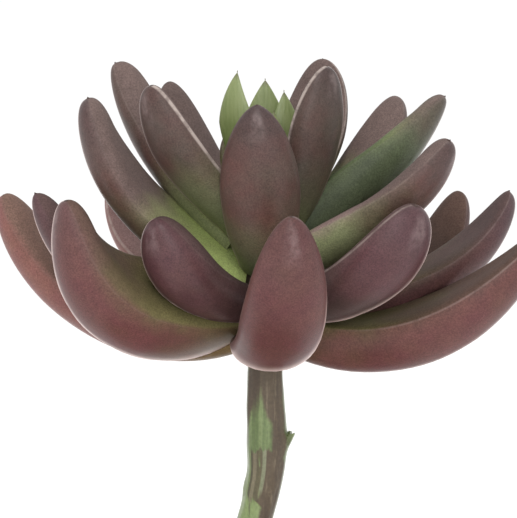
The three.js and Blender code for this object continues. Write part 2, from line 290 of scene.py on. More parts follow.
# Fine grain: a value near 0.5 that speckles the colour, and a height for the bump.
def makeGrainGroup():
    group, given, out = newGroup(
        "fineGrain",
        [("Vector", "NodeSocketVector", None), ("Scale", "NodeSocketFloat", 1200.0),
         ("Coarse", "NodeSocketFloat", 0.35)],
        [("Speckle", "NodeSocketFloat"), ("Height", "NodeSocketFloat")],
    )
    fine = noiseNode(group, given["Vector"], given["Scale"], 2.0, 0.6)
    coarse = noiseNode(group, given["Vector"], times(group, given["Scale"], 0.22), 3.0, 0.55)
    both = addNode(group, "ShaderNodeMix", {0: given["Coarse"], 2: fine, 3: coarse})
    group.links.new(fine, out["Speckle"])
    group.links.new(both.outputs[0], out["Height"])
    return group


grainGroup = makeGrainGroup()


def newMaterial(name):
    material = bpy.data.materials.new(name)
    material.use_nodes = True
    tree = material.node_tree
    return material, tree, tree.nodes["Principled BSDF"]


def grainedMaterial(name, scale, coarse):  # with object coordinates, and the fine grain placed in it
    material, tree, shader = newMaterial(name)
    place = addNode(tree, "ShaderNodeTexCoord").outputs["Object"]
    inputs = {"Vector": place, "Scale": scale, "Coarse": coarse}
    grain = addNode(tree, "ShaderNodeGroup", inputs, node_tree=grainGroup)
    return material, tree, shader, place, grain.outputs


def dressShader(tree, shader, colour, roughness, height, strength, distance, specular=0.5):
    bump = addNode(tree, "ShaderNodeBump", {"Height": height, "Strength": strength, "Distance": distance})
    looks = {
        "Base Color": colour, "Roughness": roughness, "Specular IOR Level": specular,
        "Normal": bump.outputs["Normal"],
    }
    for key, value in looks.items():
        feed(tree, shader.inputs[key], value)


# ---- the colours of the leaves ----
# From root to tip, on the outer and the inner face of a leaf, with the pale line along its margin, painted
# shade and light at its foot and a painted highlight behind its tip.
def makeLeafGroup():
    colours = (
        "Root", "Belly", "Flush", "Tip", "Inner root", "Inner tip", "Line", "Point", "Painted tip highlight", "Painted shade", "Cool",
    )
    group, given, out = newGroup(
        "leafColour",
        [("Vector", "NodeSocketVector", None), ("Speckle", "NodeSocketFloat", 0.5)]
        + [(name, "NodeSocketColor", None) for name in colours],
        [("Colour", "NodeSocketColor"), ("Patches", "NodeSocketFloat")],
    )
    names = ("along", "face", "edge", "green", "flush", "dusk", "cool", "line")
    along, face, edge, green, flush, dusk, cool, lined = (attribute(group, name) for name in names)
    patches = noiseNode(group, given["Vector"], 55.0, 3.0, 0.5)
    blotches = noiseNode(group, given["Vector"], 120.0, 3.0, 0.5)
    mottles = noiseNode(group, given["Vector"], 320.0, 4.0, 0.65)
    place = plus(group, along, scaled(group, patches, 0.5, -0.25))
    # green reaches up from the root as far as the leaf's own value says
    past = minus(group, place, green)
    flushed = plus(group, flush, scaled(group, blotches, 1.8, -0.9), clamp=True)
    belly = mixColours(group, flushed, given["Belly"], given["Flush"])
    root = mixColours(group, cool, given["Root"], given["Cool"])
    outer = blend(group, root, belly, past, -0.26, 0.22)
    tipShare = times(group, rangeNode(group, place, 0.66, 1.04), dusk, clamp=True)
    outer = mixColours(group, tipShare, outer, given["Tip"])
    innerRoot = mixColours(group, times(group, cool, 0.8), given["Inner root"], given["Cool"])
    pastMoss = minus(group, past, attribute(group, "moss"))
    inner = blend(group, innerRoot, given["Inner tip"], pastMoss, -0.35, 0.12)
    turned = plus(group, face, scaled(group, blotches, 0.6, -0.3))
    colour = blend(group, outer, inner, turned, -0.3, 0.34)
    # painted shade at the foot: towards the root a leaf is greyed and darkened where shade falls among the
    # leaves, and where its value is below zero the foot is painted light instead, as light shining through
    foot = times(group, rangeNode(group, place, 0.72, 0.22), attribute(group, "deep"))
    colour = mixColours(group, foot, colour, given["Painted shade"])
    # patches, mottling and grain, lighter and darker, with the painted shade and light of the foot
    shade = times(
        group, scaled(group, patches, 0.5, 0.75), scaled(group, foot, -0.5, attribute(group, "tone")),
        scaled(group, mottles, 0.5, 0.75), scaled(group, given["Speckle"], 1.3, 0.35),
    )
    colour = brightened(group, colour, shade)
    # a painted highlight: a soft pale spot behind the tip of the outer face
    paintedTipHighlight = times(
        group, rangeNode(group, along, 0.8, 0.94), rangeNode(group, along, 0.99, 0.95),
        rangeNode(group, face, -0.88, -1.0), rangeNode(group, mottles, 0.35, 0.65, 0.02, 0.18),
    )
    colour = mixColours(group, paintedTipHighlight, colour, given["Painted tip highlight"])
    # the pale line along the margin, broader and clearer as the leaf's own value says
    inside = mathNode(group, "DIVIDE", edge, scaled(group, lined, 0.0006, 0.0003))
    line = times(
        group, rangeNode(group, inside, 1.0, 0.3), rangeNode(group, mottles, 0.36, 0.56, 0.45, 0.95),
        rangeNode(group, along, 0.1, 0.5), lined, clamp=True,
    )
    colour = mixColours(group, line, colour, given["Line"])
    colour = blend(group, colour, given["Point"], along, 0.9975, 0.9995)
    group.links.new(colour, out["Colour"])
    group.links.new(patches, out["Patches"])
    return group


leafGroup = makeLeafGroup()
# each ring's dim colour is painted shade for the feet of its leaves
leafLooks = {
    "outer": {
        "Root": (88, 72, 48), "Belly": (95, 64, 56), "Flush": (92, 55, 55), "Tip": (78, 61, 60),
        "Inner root": (92, 86, 54), "Inner tip": (86, 66, 58), "Painted shade": (80, 68, 62),
    },
    "middle": {
        "Root": (84, 70, 52), "Belly": (86, 60, 56), "Flush": (80, 51, 54), "Tip": (68, 53, 56),
        "Inner root": (96, 82, 64), "Inner tip": (80, 62, 60), "Painted shade": (80, 68, 62),
    },
    "inner": {
        "Root": (98, 102, 74), "Belly": (78, 67, 60), "Flush": (86, 56, 52), "Tip": (68, 55, 54),
        # the inner root is the bases' own yellow-green, painted lighter for the light that shines through
        # them
        "Inner root": (138, 150, 92), "Inner tip": (92, 77, 73), "Painted shade": (74, 84, 62),
    },
    "core": {
        "Root": (108, 116, 72), "Belly": (90, 86, 62), "Flush": (84, 70, 60), "Tip": (76, 64, 56),
        "Inner root": (118, 128, 80), "Inner tip": (94, 90, 68), "Painted shade": (80, 84, 60),
    },
    # the pale tip colour below is a painted highlight
    "every": {"Line": (158, 145, 138), "Cool": (74, 82, 61), "Point": (62, 46, 42), "Painted tip highlight": (176, 158, 156)},
}
# the pale colour and the slant that brings it in make a painted sheen on the leaves
leafFinish = {
    "roughness": 0.42, "specular": 0.22, "grainScale": 2200.0, "bump": 0.12, "bumpDepth": 0.0006,
    "innerDull": 0.4, "rim": paint(220, 196, 190), "rimFrom": 0.72, "rimTo": 1.0, "rimHeld": 0.2,
}


def makeLeafMaterial(ring):
    finish = leafFinish
    material, tree, shader, place, grain = grainedMaterial(ring + "Leaf", finish["grainScale"], 0.4)
    inputs = {"Vector": place, "Speckle": grain["Speckle"]}
    for name, tone in (leafLooks[ring] | leafLooks["every"]).items():
        inputs[name] = paint(*tone)
    colours = addNode(tree, "ShaderNodeGroup", inputs, node_tree=leafGroup).outputs
    face = attribute(tree, "face")
    least, most = finish["roughness"] - 0.05, finish["roughness"] + 0.07
    rough = rangeNode(tree, colours["Patches"], 0.3, 0.7, least, most)
    rough = plus(tree, rough, rangeNode(tree, face, -0.3, 0.3, 0.0, finish["innerDull"]))
    # a painted sheen: the leaf pales where it is seen at a slant, as the bright surroundings reflect in its
    # waxy bloom, held back on its inner face
    held = rangeNode(tree, face, -0.35, 0.0, 0.0, finish["rimHeld"])
    rim = rangeNode(tree, minus(tree, slant(tree), held), finish["rimFrom"], finish["rimTo"])
    rim = times(tree, rim, attribute(tree, "rim"))
    colour = mixColours(tree, rim, colours["Colour"], finish["rim"])
    bump = (grain["Height"], finish["bump"], finish["bumpDepth"])
    dressShader(tree, shader, colour, rough, *bump, finish["specular"])
    return material


# ---- the leaves ----
# Millimetres and degrees. Azimuths count from the front of the plant towards +X, heights from the datum.
rosette = {"axisX": 11, "axisY": 0, "datum": 180, "crownRadius": 8, "leafSunk": 2, "clearance": 0.08}
rosetteFoot = np.array([rosette["axisX"], rosette["axisY"], rosette["datum"]])
leafForm = {  # what a leaf has unless its own row says otherwise
    "sides": 36, "rings": 44, "lastRing": 0.9985, "crowding": 1.7, "marginCrowding": 0.4,
    "widest": 0.6, "neck": 0.7, "swelling": 1.25, "taper": 1.8, "blunt": 0.5,
    "belly": 0.44, "thinning": 0.3, "back": 0.12, "crest": 0.1, "crestFrom": 0.45, "crestTo": 0.95,
    "plump": 0.8, "bellyCurve": 0.9, "backCurve": 1.3, "handle": 0.38, "roll": 0, "twist": 0,
    "channel": 0.07, "wing": 0, "wingFrom": 0.1, "wingTo": 0.45, "ripple": 0.024,
    "mucroLength": 0.25, "mucroRadius": 0.3, "mucroLean": 0.25,
    # the last line also sets how strong the painted shade at a leaf's foot is, painted light below zero, and
    # how strong its painted sheen is
    "line": 0.12, "rim": 0.4, "deep": 0, "tone": 1, "moss": 0, "cool": 0,
}
spiked = {"mucroLength": 0.6, "mucroRadius": 0.45}


# A leaf: the height of its root, how far out and how high its tip is, its width, its slopes at root and tip.
# Its tint: how far green reaches up from the root, how flushed the belly is, how dusky the tip is.
def row(azimuth, root, reach, tip, width, leave, arrive, tint=(0.1, 0.5, 0.8), **more):
    green, flush, dusk = tint
    basic = dict(azimuth=azimuth, root=root, reach=reach, tip=tip, width=width, leave=leave, arrive=arrive)
    return {**basic, "green": green, "flush": flush, "dusk": dusk, **more}


leaves = {
    "outer": [
        row(6, 11.2, 60, 48, 23.4, -14, 70, (-0.2, 0.75, 0.45), roll=2, widest=0.5, blunt=0.54, neck=0.6,
            swelling=0.6, belly=0.4, wing=2.4, line=0.1, rim=0.9, tone=0.86),
        row(78, 17, 78.5, 42, 26, -16, 44, (0.1, 0.65, 0.2), roll=9, belly=0.8, thinning=0.56, crest=0,
            neck=0.5, taper=1.5, moss=0.42, line=0.2, tone=0.95),
        row(-62, 22.4, 62, 50, 27, 0, 72, (0.25, 0.85, 0.55), moss=0.5, roll=-34, twist=46, belly=1.2,
            thinning=0.8, handle=0.45, backCurve=0.95, crest=0.16, crestFrom=0.25, neck=0.72, swelling=0.6,
            line=0.05, rim=0.9),
        row(130, 10, 74, 47.5, 22, -8, 66, (0.1, 0.5, 1.0), tone=0.85),
        row(-108, 14, 79.6, 48, 23, -18, 60, (0.34, 0.5, 0.1), neck=0.5, swelling=0.8, belly=0.53,
            crest=0.2, backCurve=1.0, line=0.05, rim=0.3, tone=1.54),
        row(-176, 10, 68, 46, 23, -14, 70),
    ],
    "middle": [
        row(48, 23.5, 53.2, 49.3, 26, 3, 62, (-0.1, 0.9, 0.5), roll=-6, belly=0.48, line=0.35, rim=0.8,
            deep=0.7, tone=0.95),
        row(-45, 23, 42.2, 45.4, 20, 2, 72, (-0.05, 0.9, 0.4), roll=8, widest=0.58, blunt=0.54, neck=0.6,
            swelling=0.5, belly=0.56, crest=0.34, crestFrom=0.1, backCurve=1.0, line=0.05, rim=1.0,
            deep=0.3, tone=0.95),
        row(104, 21, 71, 49.5, 23, -2, 56, (0.2, 0.5, 0.8), belly=0.58, thinning=0.4, crest=-0.02,
            moss=0.48, line=0.12, **spiked),
        row(-84, 18, 64.6, 50.4, 20, -4, 68, (0.2, 0.7, 0.5), blunt=0.6, neck=0.5, belly=0.38, crest=0.28,
            line=0, rim=0.9, **spiked),
        row(-142, 21, 72, 52, 21, 4, 66, (0.5, 0.0, 0.2), line=0.6, rim=1.0, tone=2.3),
        row(158, 20, 68, 47, 22, 4, 66, (0.3, 0.5, 0.8)),
        row(14, 25, 33, 38, 16, 4, 50, (0.4, 0.5, 0.8)),
    ],
    "inner": [
        row(-5, 33, 32, 76, 22, 34, 64, (0.28, 0.6, 1.0), widest=0.52, blunt=0.64, line=0.1, deep=-0.5,
            tone=0.91),
        row(64, 34, 55, 66, 24, 36, 52, (0.6, 0.7, 0.8), roll=8, belly=0.56, thinning=0.46, crest=0.12,
            deep=-2.8, moss=-0.42, **spiked),
        row(-78, 31, 50.4, 77, 24, 22, 72, (0.46, 0.6, 0.9), roll=-24, twist=24, belly=0.44, crest=0.14,
            crestFrom=0.1, neck=0.95, line=0.05, deep=-1.1, tone=1.08, **spiked),
        row(128, 32, 47.5, 76, 21, 36, 60, (0.62, 0.1, 0.8), tone=1.2),
        row(-142, 32, 46, 80, 17.5, 46, 64, (0.3, 0.1, 0.8), tone=0.9),
        row(-52, 41, 40, 81, 20, 46, 68, (0.5, 0.35, 0.4), line=1.0, deep=-0.8, tone=0.87),
        row(47, 43, 22.4, 86, 18.7, 58, 72, (0.28, 0.2, 0.9), blunt=0.58, line=1.0, tone=0.86),
        row(98, 42, 50.3, 76.8, 22, 47, 44, (0.85, 0.0, 0.35), roll=-11, belly=0.84, thinning=0.74,
            backCurve=0.95, line=0.05, deep=0.5, tone=1.05, cool=0.9, **spiked),
        row(-108, 39, 45, 86, 20, 39, 62.5, (0.4, 0.3, 0.4), belly=0.52, thinning=0.55, crest=0.28,
            crestFrom=0.2, neck=0.85, deep=-1.5, tone=1.12, **spiked),
        row(155.5, 41, 39, 86.7, 20.6, 50, 84, (0.5, 0.1, 0.8), line=0.7),
        row(-176, 27, 42, 64, 20, 30, 66, (0.4, 0.5, 0.8)),
        row(175, 46, 16, 68, 16, 60, 84, (0.5, 0.5, 0.8)),
    ],
    "core": [
        row(4, 44, 16, 66, 13, 46, 84, (0.5, 0.5, 0.8)),
        row(-32, 47, 14, 64, 12, 50, 84, (0.6, 0.5, 0.8)),
        row(112, 47, 16, 65, 12, 50, 84, (0.6, 0.5, 0.8)),
        row(-140, 47, 14, 68, 12, 56, 84, (0.6, 0.5, 0.8)),
        row(-92, 46, 11, 57, 10, 56, 86, (0.7, 0.5, 0.8)),
        row(74, 47, 13, 60, 9, 56, 86, (0.7, 0.5, 0.8)),
    ],
}


def directions(degrees):
    return np.array([math.cos(math.radians(degrees)), 0, math.sin(math.radians(degrees))])


def widthShare(u, blade):
    opened = np.sin(math.pi / 2 * np.minimum(u / blade["widest"], 1)) ** blade["swelling"]
    past = np.clip((u - blade["widest"]) / (1 - blade["widest"]), 0, 1)
    closed = (1 - past ** blade["taper"]) ** blade["blunt"]
    return np.where(u < blade["widest"], mixValues(blade["neck"], 1, opened), closed)


def leafSpine(blade, rootRadius, u):  # points and directions at shares "u" of the leaf's length
    root = np.array([rootRadius, 0, blade["root"]])
    tip = np.array([blade["reach"], 0, blade["tip"]])
    handle = np.linalg.norm(tip - root) * blade["handle"]
    leaving = root + directions(blade["leave"]) * handle
    arriving = tip - directions(blade["arrive"]) * handle
    t = np.linspace(0, 1, 401)[:, None]
    back = 1 - t
    curve = root * back ** 3 + 3 * leaving * t * back ** 2 + 3 * arriving * t * t * back + tip * t ** 3
    lengths = lengthsAlong(curve)
    total, near = lengths[-1], 0.004  # a point's direction is read this share before and after it
    ahead = pointsAt(np.minimum(u + near, 1) * total, lengths, curve)
    behind = pointsAt(np.maximum(u - near, 0) * total, lengths, curve)
    return pointsAt(u * total, lengths, curve), unit(ahead - behind)


def turnAbout(vectors, axes, degrees):  # each vector about its own axis
    angle = np.radians(degrees)
    cos, sin = np.cos(angle)[:, None], np.sin(angle)[:, None]
    dot = (vectors * axes).sum(1)[:, None]
    return vectors * cos + np.cross(axes, vectors) * sin + axes * dot * (1 - cos)


# Points of a leaf, in metres and in the part's frame, and what its material reads. "swell" makes the leaf
# larger all round.
def leafPoints(leaf, form, rootRadius, seed, swell=0.0):
    blade = {**form, **leaf}
    rings, sides, width = blade["rings"], blade["sides"], blade["width"]
    u = blade["lastRing"] * (1 - (1 - np.linspace(0, 1, rings)) ** blade["crowding"])
    centres, ways = leafSpine(blade, rootRadius, u)
    centres[0] -= ways[0] * swell
    rolls = blade["roll"] + blade["twist"] * (u - 0.5)
    across = turnAbout(np.tile([0.0, 1.0, 0.0], (rings, 1)), ways, rolls)
    normals = np.cross(ways, across)
    angle = ringAngles(sides)
    angle = angle - blade["marginCrowding"] * np.sin(2 * angle) / 2  # more points near the two margins
    x, y = np.cos(angle), np.sin(angle)
    share = widthShare(u, blade)
    full = share[:, None] ** blade["plump"]
    back = blade["back"] + blade["crest"] * smoothStep(blade["crestFrom"], blade["crestTo"], u[:, None])
    bulge = np.where(y > 0, back, blade["belly"] * (1 - blade["thinning"] * u[:, None]))
    curve = np.where(y > 0, blade["backCurve"], blade["bellyCurve"])
    lift = np.sign(y) * (width * bulge * full + swell) * np.abs(y) ** curve
    # a shallow channel along the inner face, which fades out towards the tip
    channel = blade["channel"] * width * full
    lift = lift - channel * np.clip(y, 0, 1) ** 3 * smoothStep(1.0, 0.8, u)[:, None]
    # a wing widens one side near the root
    wing = blade["wing"] * np.clip(-x, 0, 1) * smoothStep(blade["wingTo"], blade["wingFrom"], u)[:, None]
    sideways = x * (width * share[:, None] / 2 + swell) - wing
    # slight unevenness that grows with the leaf's own size
    random.seed(seed)
    drift = Vector([random.uniform(-40, 40) for _ in range(3)])
    ripple = np.array([
        [noise.noise(drift + Vector((a * 4.5, cx * 1.1, cy * 1.1))) for cx, cy in zip(x, y)] for a in u
    ])
    swollen = 1 + blade["ripple"] * ripple
    points = centres[:, None] + across[:, None] * (sideways * swollen)[..., None]
    points = points + normals[:, None] * (lift * swollen)[..., None]
    # the small hard point stands on the outer side of the blunt tip
    spikeWay = ways[-1] - blade["mucroLean"] * normals[-1]
    spikeWay = spikeWay / np.linalg.norm(spikeWay) * (blade["mucroLength"] + swell)
    spikes = []
    for climbed in (0.3, 0.65):
        radius = (blade["mucroRadius"] + swell) * (1 - climbed) ** 0.9
        ring = across[-1] * (x * radius)[:, None] + normals[-1] * (y * radius)[:, None]
        spikes.append(centres[-1] + spikeWay * climbed + ring)
    points = np.concatenate([points, np.array(spikes)])
    ends = np.array([centres[0], centres[-1] + spikeWay])
    flat = np.concatenate([points.reshape(-1, 3), ends])
    # how far each point lies from the margin, and nothing on the hard point
    half = width * share / 2
    edge = np.hypot(half[:, None] * (1 - np.abs(x)), lift) * mm
    onSpike = len(spikes) * sides
    values = {
        "along": np.concatenate([np.repeat(u, sides), np.ones(onSpike), [0, 1]]),
        "face": np.concatenate([np.tile(y, len(points)), [0, 0]]),
        "edge": np.concatenate([edge.reshape(-1), np.zeros(onSpike), [0.01, 0]]),
    }
    for key in ("green", "flush", "dusk", "line", "rim", "deep", "tone", "moss", "cool"):
        values[key] = np.full(len(flat), float(blade[key]))
    return placed(*flat.T, blade["azimuth"], rosetteFoot) * mm, tubeFaces(len(points), sides), values


def buildLeaves(stemCutter):
    standing = [stemCutter]
    rootRadius = rosette["crownRadius"] - rosette["leafSunk"]
    materials = {ring: makeLeafMaterial(ring) for ring in leaves}
    for ringIndex, (ring, rows) in enumerate(leaves.items()):
        for index, leaf in enumerate(rows):
            seed = 100 * ringIndex + index
            points, faces, values = leafPoints(leaf, leafForm, rootRadius, seed)
            made = newObject(f"{ring}Leaf{index + 1}", newMesh("leaf", points, faces))
            combine(made, standing, "DIFFERENCE")
            keepLargest(made)
            carryAttributes(made.data, points, values)
            finishPiece(made, materials[ring], [f"leaf_{ring}_{index + 1}"])
            points, faces, _ = leafPoints(leaf, leafForm, rootRadius, seed, swell=rosette["clearance"])
            standing.append(newObject("cutter", newMesh("cutter", points, faces)))
    return standing


# ---- the growing tip ----
youngForm = {
    **leafForm, "sides": 28, "rings": 32, "widest": 0.64, "neck": 0.6, "taper": 1.2, "blunt": 0.9,
    "belly": 0.15, "back": 0.08, "crest": 0, "channel": 0.03, "mucroLength": 0.7, "mucroRadius": 0.22,
}
youngTint = (2.0, 0.0, 0.0)
youngLeaves = [
    row(-54, 48, 10.2, 84, 10.4, 74, 104, youngTint, roll=32),
    row(-174, 48, 5, 81.5, 12.5, 74, 94, youngTint),
    row(60, 48, 5.4, 78.5, 9.5, 74, 94, youngTint, roll=-45),
]
bud = {"radius": 3.9, "height": 8, "centre": 54, "sides": 24, "rings": 16, "leafRoot": 3.2, "foldedLeaves": 6}
# the folded leaves on the bud: the first, and what each later one adds to it
foldedFirst = row(20, 50, 5.4, 73, 7.6, 64, 100, youngTint)
foldedStep = row(137.5, 0, -0.8, -1.4, -0.4, 0, 0, (0.0, 0.0, 0.0))
youngLooks = {
    "low": paint(98, 116, 60), "high": paint(120, 130, 84), "tip": paint(96, 92, 66),
    "vein": paint(92, 108, 58), "roughness": 0.42, "bump": 0.15,
}


def makeYoungMaterial():
    material, tree, shader, place, grain = grainedMaterial("youngLeaf", 1500.0, 0.3)
    along = attribute(tree, "along")
    # fine veins that run up the leaf
    veins = noiseNode(tree, stretched(tree, place, 0.07), 1400.0, 2.0, 0.6)
    colour = blend(tree, youngLooks["low"], youngLooks["high"], along, 0.2, 0.75)
    colour = blend(tree, colour, youngLooks["tip"], along, 0.93, 1.0)
    colour = blend(tree, colour, youngLooks["vein"], veins, 0.42, 0.68, 0.4)
    height = scaled(tree, veins, 1.5, grain["Height"])
    dressShader(tree, shader, colour, youngLooks["roughness"], height, youngLooks["bump"], 0.0005)
    return material


def budPoints():
    polar = np.linspace(0, math.pi, bud["rings"] + 2)[1:-1, None]
    turn = ringAngles(bud["sides"])
    ball = np.stack([
        np.sin(polar) * np.cos(turn) * bud["radius"],
        np.sin(polar) * np.sin(turn) * bud["radius"],
        np.repeat(-np.cos(polar), bud["sides"], 1) * bud["height"] + bud["centre"],
    ], 2).reshape(-1, 3)
    ends = [(0, 0, bud["centre"] - bud["height"]), (0, 0, bud["centre"] + bud["height"])]
    return (np.concatenate([ball, ends]) + rosetteFoot) * mm


def buildGrowingTip(standing):
    ball = budPoints()
    made = newObject("growingTip", newMesh("tip", ball, tubeFaces(bud["rings"], bud["sides"])))
    rows = list(youngLeaves)
    for k in range(bud["foldedLeaves"]):
        rows.append({key: value + foldedStep[key] * k for key, value in foldedFirst.items()})
    blades, allPoints, allAlong = [], [ball], [np.full(len(ball), 0.2)]
    for index, leaf in enumerate(rows):
        points, faces, values = leafPoints(leaf, youngForm, bud["leafRoot"], 900 + index)
        blades.append(newObject("blade", newMesh("blade", points, faces)))
        allPoints.append(points)
        allAlong.append(values["along"])
    combine(made, blades, "UNION")
    combine(made, standing, "DIFFERENCE")
    keepLargest(made)
    carryAttributes(made.data, np.concatenate(allPoints), {"along": np.concatenate(allAlong)})
    finishPiece(made, makeYoungMaterial(), ["growing_tip"], 40)
    removeObjects(blades)


# ---- the stem ----
stemForm = {
    "radius": 5.2, "kneeBulge": 0.35, "kneeDrop": 17, "kneePitch": 45, "kneeFade": (6, 24), "buried": 34,
    "length": 85, "sides": 64, "rings": 300, "crownRadius": rosette["crownRadius"], "flare": (2, 11),
    "narrow": (40, 50), "topRadius": 3.4, "ridge": 0.16, "clearance": 0.05,
    "route": [
        (0, 0, 0), (0.4, 0.6, 12), (3.4, 2, 28), (8.4, 1.6, 46), (10.6, 0.6, 57), (10.8, 0.2, 68),
        (10.4, 0, 85),
    ],
    # drop below the datum, azimuth and height of each scar
    "scars": [(20, 86, 1.1), (34, -128, 0.8), (47, 12, 0.8), (58, 150, 0.9), (68, -72, 0.8)],
    "scarSpread": 2.6, "scarDepth": 0.45,
}
stub = {
    "drop": 22, "azimuth": 84, "length": 5.4, "width": 4.4, "tipWidth": 3.6, "thickness": 2.6, "lean": 28,
    "sunk": 0.8, "torn": 1.6, "sides": 14, "rings": 12,
}


def stemRoute(swell=0.0):  # a centripetal spline through the route's points, evenly spaced
    ground = rosette["datum"] - stemForm["length"]
    top = rosette["datum"] + stemForm["narrow"][1] + swell
    knots = [np.array([x, y, ground + z], float) for x, y, z in stemForm["route"]]
    knots.insert(0, np.array([0, 0, mixForm["surface"] - stemForm["buried"]], float))
    knots.append(np.array([rosette["axisX"], rosette["axisY"], top], float))
    knots = [2 * knots[0] - knots[1], *knots, 2 * knots[-1] - knots[-2]]
    pieces = []
    for p0, p1, p2, p3 in zip(knots, knots[1:], knots[2:], knots[3:]):
        d0, d1, d2 = (max(np.linalg.norm(b - a) ** 0.5, 1e-4) for a, b in ((p0, p1), (p1, p2), (p2, p3)))
        m1 = ((p1 - p0) / d0 - (p2 - p0) / (d0 + d1) + (p2 - p1) / d1) * d1
        m2 = ((p2 - p1) / d1 - (p3 - p1) / (d1 + d2) + (p3 - p2) / d2) * d1
        t = np.linspace(0, 1, 60, endpoint=False)[:, None]
        bend, twist = 3 * (p2 - p1) - 2 * m1 - m2, 2 * (p1 - p2) + m1 + m2
        pieces.append(p1 + m1 * t + bend * t ** 2 + twist * t ** 3)
    curve = np.concatenate([*pieces, [knots[-2]]])
    lengths = lengthsAlong(curve)
    return pointsAt(np.linspace(0, lengths[-1], stemForm["rings"]), lengths, curve)


def stemRadius(height):
    knee = np.cos((height + stemForm["kneeDrop"]) / stemForm["kneePitch"] * 2 * math.pi)
    kneeShare = smoothStep(*stemForm["kneeFade"], height + stemForm["length"])
    bare = stemForm["radius"] + stemForm["kneeBulge"] * knee * kneeShare
    flared = mixValues(bare, stemForm["crownRadius"], smoothStep(*stemForm["flare"], height))
    low, high = stemForm["narrow"]
    return mixValues(flared, stemForm["topRadius"], np.clip((height - low) / (high - low), 0, 1))


def stemNoise(angles, heights, reach, shift, upward):
    return np.array([
        [noise.noise(Vector((math.cos(a) * reach + shift, math.sin(a) * reach, h * upward))) for a in angles]
        for h in heights
    ])


def stemPoints(swell=0.0, detail=True):
    centres = stemRoute(swell)
    ways = unit(np.gradient(centres, axis=0))
    right = unit(np.cross([0.0, 1.0, 0.0], ways))
    back = np.cross(ways, right)
    height = centres[:, 2] - rosette["datum"]
    angle = ringAngles(stemForm["sides"])
    radius = stemRadius(height)[:, None] + np.zeros(len(angle)) + swell
    for drop, azimuth, raised in stemForm["scars"]:
        off = (height[:, None] + drop) / stemForm["scarSpread"]
        turn = angle[None, :] - math.radians(azimuth - 90)
        radius = radius + raised * np.exp(-off * off) * np.clip(np.cos(turn), 0, 1) ** 3
        if detail:  # the scar itself: a sunk eye with a rim below it
            eye = np.exp(-((off - 0.1) / 0.33) ** 2 - (np.sin(turn) / 0.42) ** 2) * (np.cos(turn) > 0)
            radius = radius - stemForm["scarDepth"] * eye
    if detail:
        bark, knots = stemNoise(angle, height, 2.6, 0, 0.035), stemNoise(angle, height, 1.3, 9, 0.16)
        radius = radius + stemForm["ridge"] * (bark * 1.3 + knots * 0.9)
    points = centres[:, None] + right[:, None] * (radius * np.cos(angle))[..., None]
    points = points + back[:, None] * (radius * np.sin(angle))[..., None]
    flat = np.concatenate([points.reshape(-1, 3), centres[[0, -1]]]) * mm
    turns = np.concatenate([np.tile(np.degrees(angle) + 90, len(height)), [0, 0]])
    values = {
        "drop": np.concatenate([np.repeat(-height, len(angle)), -height[[0, -1]]]),
        "turn": (turns + 180) % 360 - 180,  # degrees from the front towards +X
    }
    return flat, tubeFaces(len(height), len(angle)), values


def stubMesh():
    step = np.linspace(0, 1, stub["rings"])[:, None]
    angle = ringAngles(stub["sides"])
    half = mixValues(stub["width"], stub["tipWidth"], step ** 1.3) / 2
    ragged = np.array([noise.noise(Vector((math.cos(a) * 2, math.sin(a) * 2, 4.0))) for a in angle])
    along = step * (stub["length"] + stub["torn"] * ragged * step ** 3)
    x = half * np.cos(angle) * stub["thickness"] / stub["width"]
    up, out = spun(along, x, math.radians(stub["lean"]))
    centre = stemRoute()
    base = pointsAt([rosette["datum"] - stub["drop"]], centre[:, 2], centre)[0]
    out = out + stemRadius(np.array([-stub["drop"]]))[0] - stub["sunk"]
    points = placed(out, half * np.sin(angle), up, stub["azimuth"], base)
    ends = np.stack([points[0].mean(0), points[-1].mean(0) - np.array([0, 0, 0.7])])
    flat = np.concatenate([points.reshape(-1, 3), ends]) * mm
    return newMesh("stub", flat, tubeFaces(stub["rings"], stub["sides"]))


stemLooks = {
    "bark": paint(82, 70, 54), "barkDark": paint(70, 58, 46), "barkPale": paint(110, 98, 80),
    "green": paint(86, 102, 58), "greenPale": paint(110, 124, 80), "greenLow": paint(134, 150, 98),
    "woody": paint(122, 104, 84), "rim": paint(186, 192, 178), "streak": paint(66, 56, 44),
    "beige": paint(118, 106, 88), "mossy": paint(122, 126, 100),
    # narrow strips below the green skin: from, to, middle and half width, and the colour
    "strips": [
        (20.5, 37, -76, 22, "greenPale"), (20.5, 37, -51, 3, "streak"), (20.5, 36, -37, 7, "beige"),
        (20.5, 34, -6, 6, "mossy"),
    ],
    # places of the green skin: from, to below the datum, how far down it widens, middle and half width in
    # degrees, and how whole it is
    "patches": [
        (5, 21.4, 13, -24, 42, 1.0), (35, 58, 3, -44, 52, 1.0), (20, 36, 2, -56, 46, 0.15),
        (2, 21, 6, 84, 18, 0.5), (15, 25, 2, 88, 24, 0.75), (18, 30, 5, 160, 40, 1.0),
        (48, 66, 6, 60, 42, 1.0),
    ],
}


